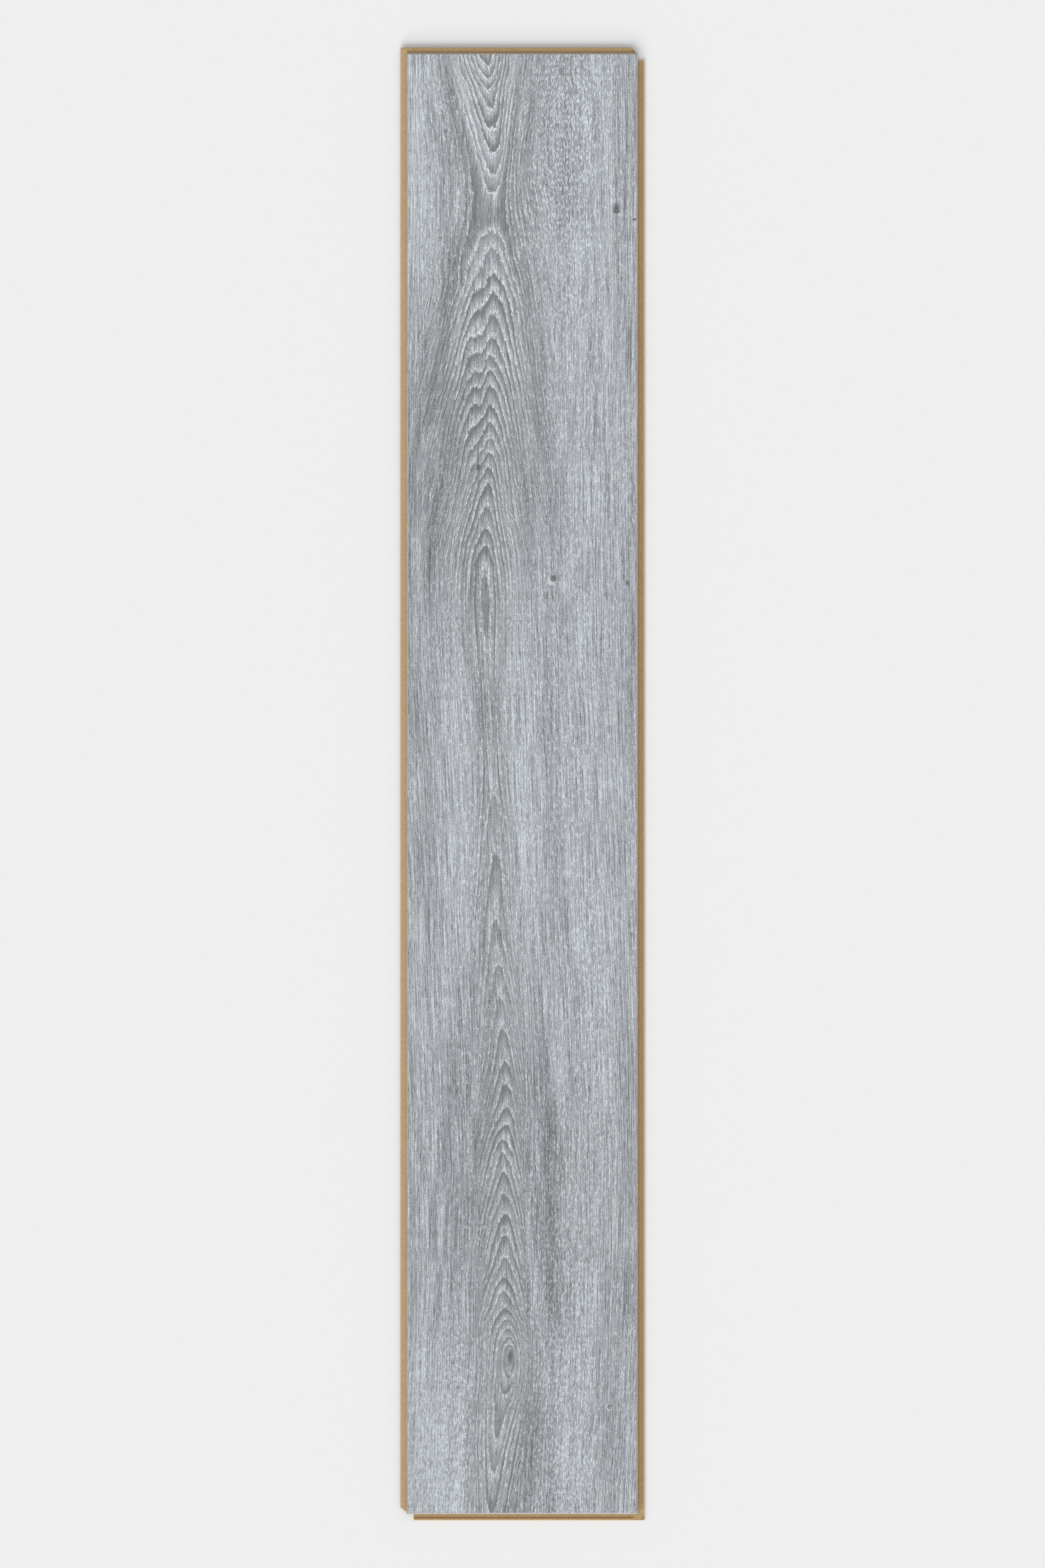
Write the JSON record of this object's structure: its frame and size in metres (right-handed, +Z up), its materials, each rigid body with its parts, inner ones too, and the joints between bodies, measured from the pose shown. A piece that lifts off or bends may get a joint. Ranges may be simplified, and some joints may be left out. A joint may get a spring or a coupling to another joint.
{
  "type": "laminate floor plank",
  "caption": "Flat rectangular floor plank with an embossed grey oak face, a bevel all round, and a click tongue and groove on its edges that lock it to its neighbours.",
  "frame": {"origin": "on the underside, below the middle of the face", "axes": "+X across the plank towards the long edge with the groove, +Y along it towards the end with the tongue, +Z up out of the face"},
  "size_m": [0.2005, 1.2105, 0.008],
  "materials": {
    "oak_decor": "matt grey oak print under an embossed melamine overlay, on a pressed wood-fibre board"
  },
  "bodies": {
    "root": {"plank": "oak_decor"}
  },
  "joints": []
}
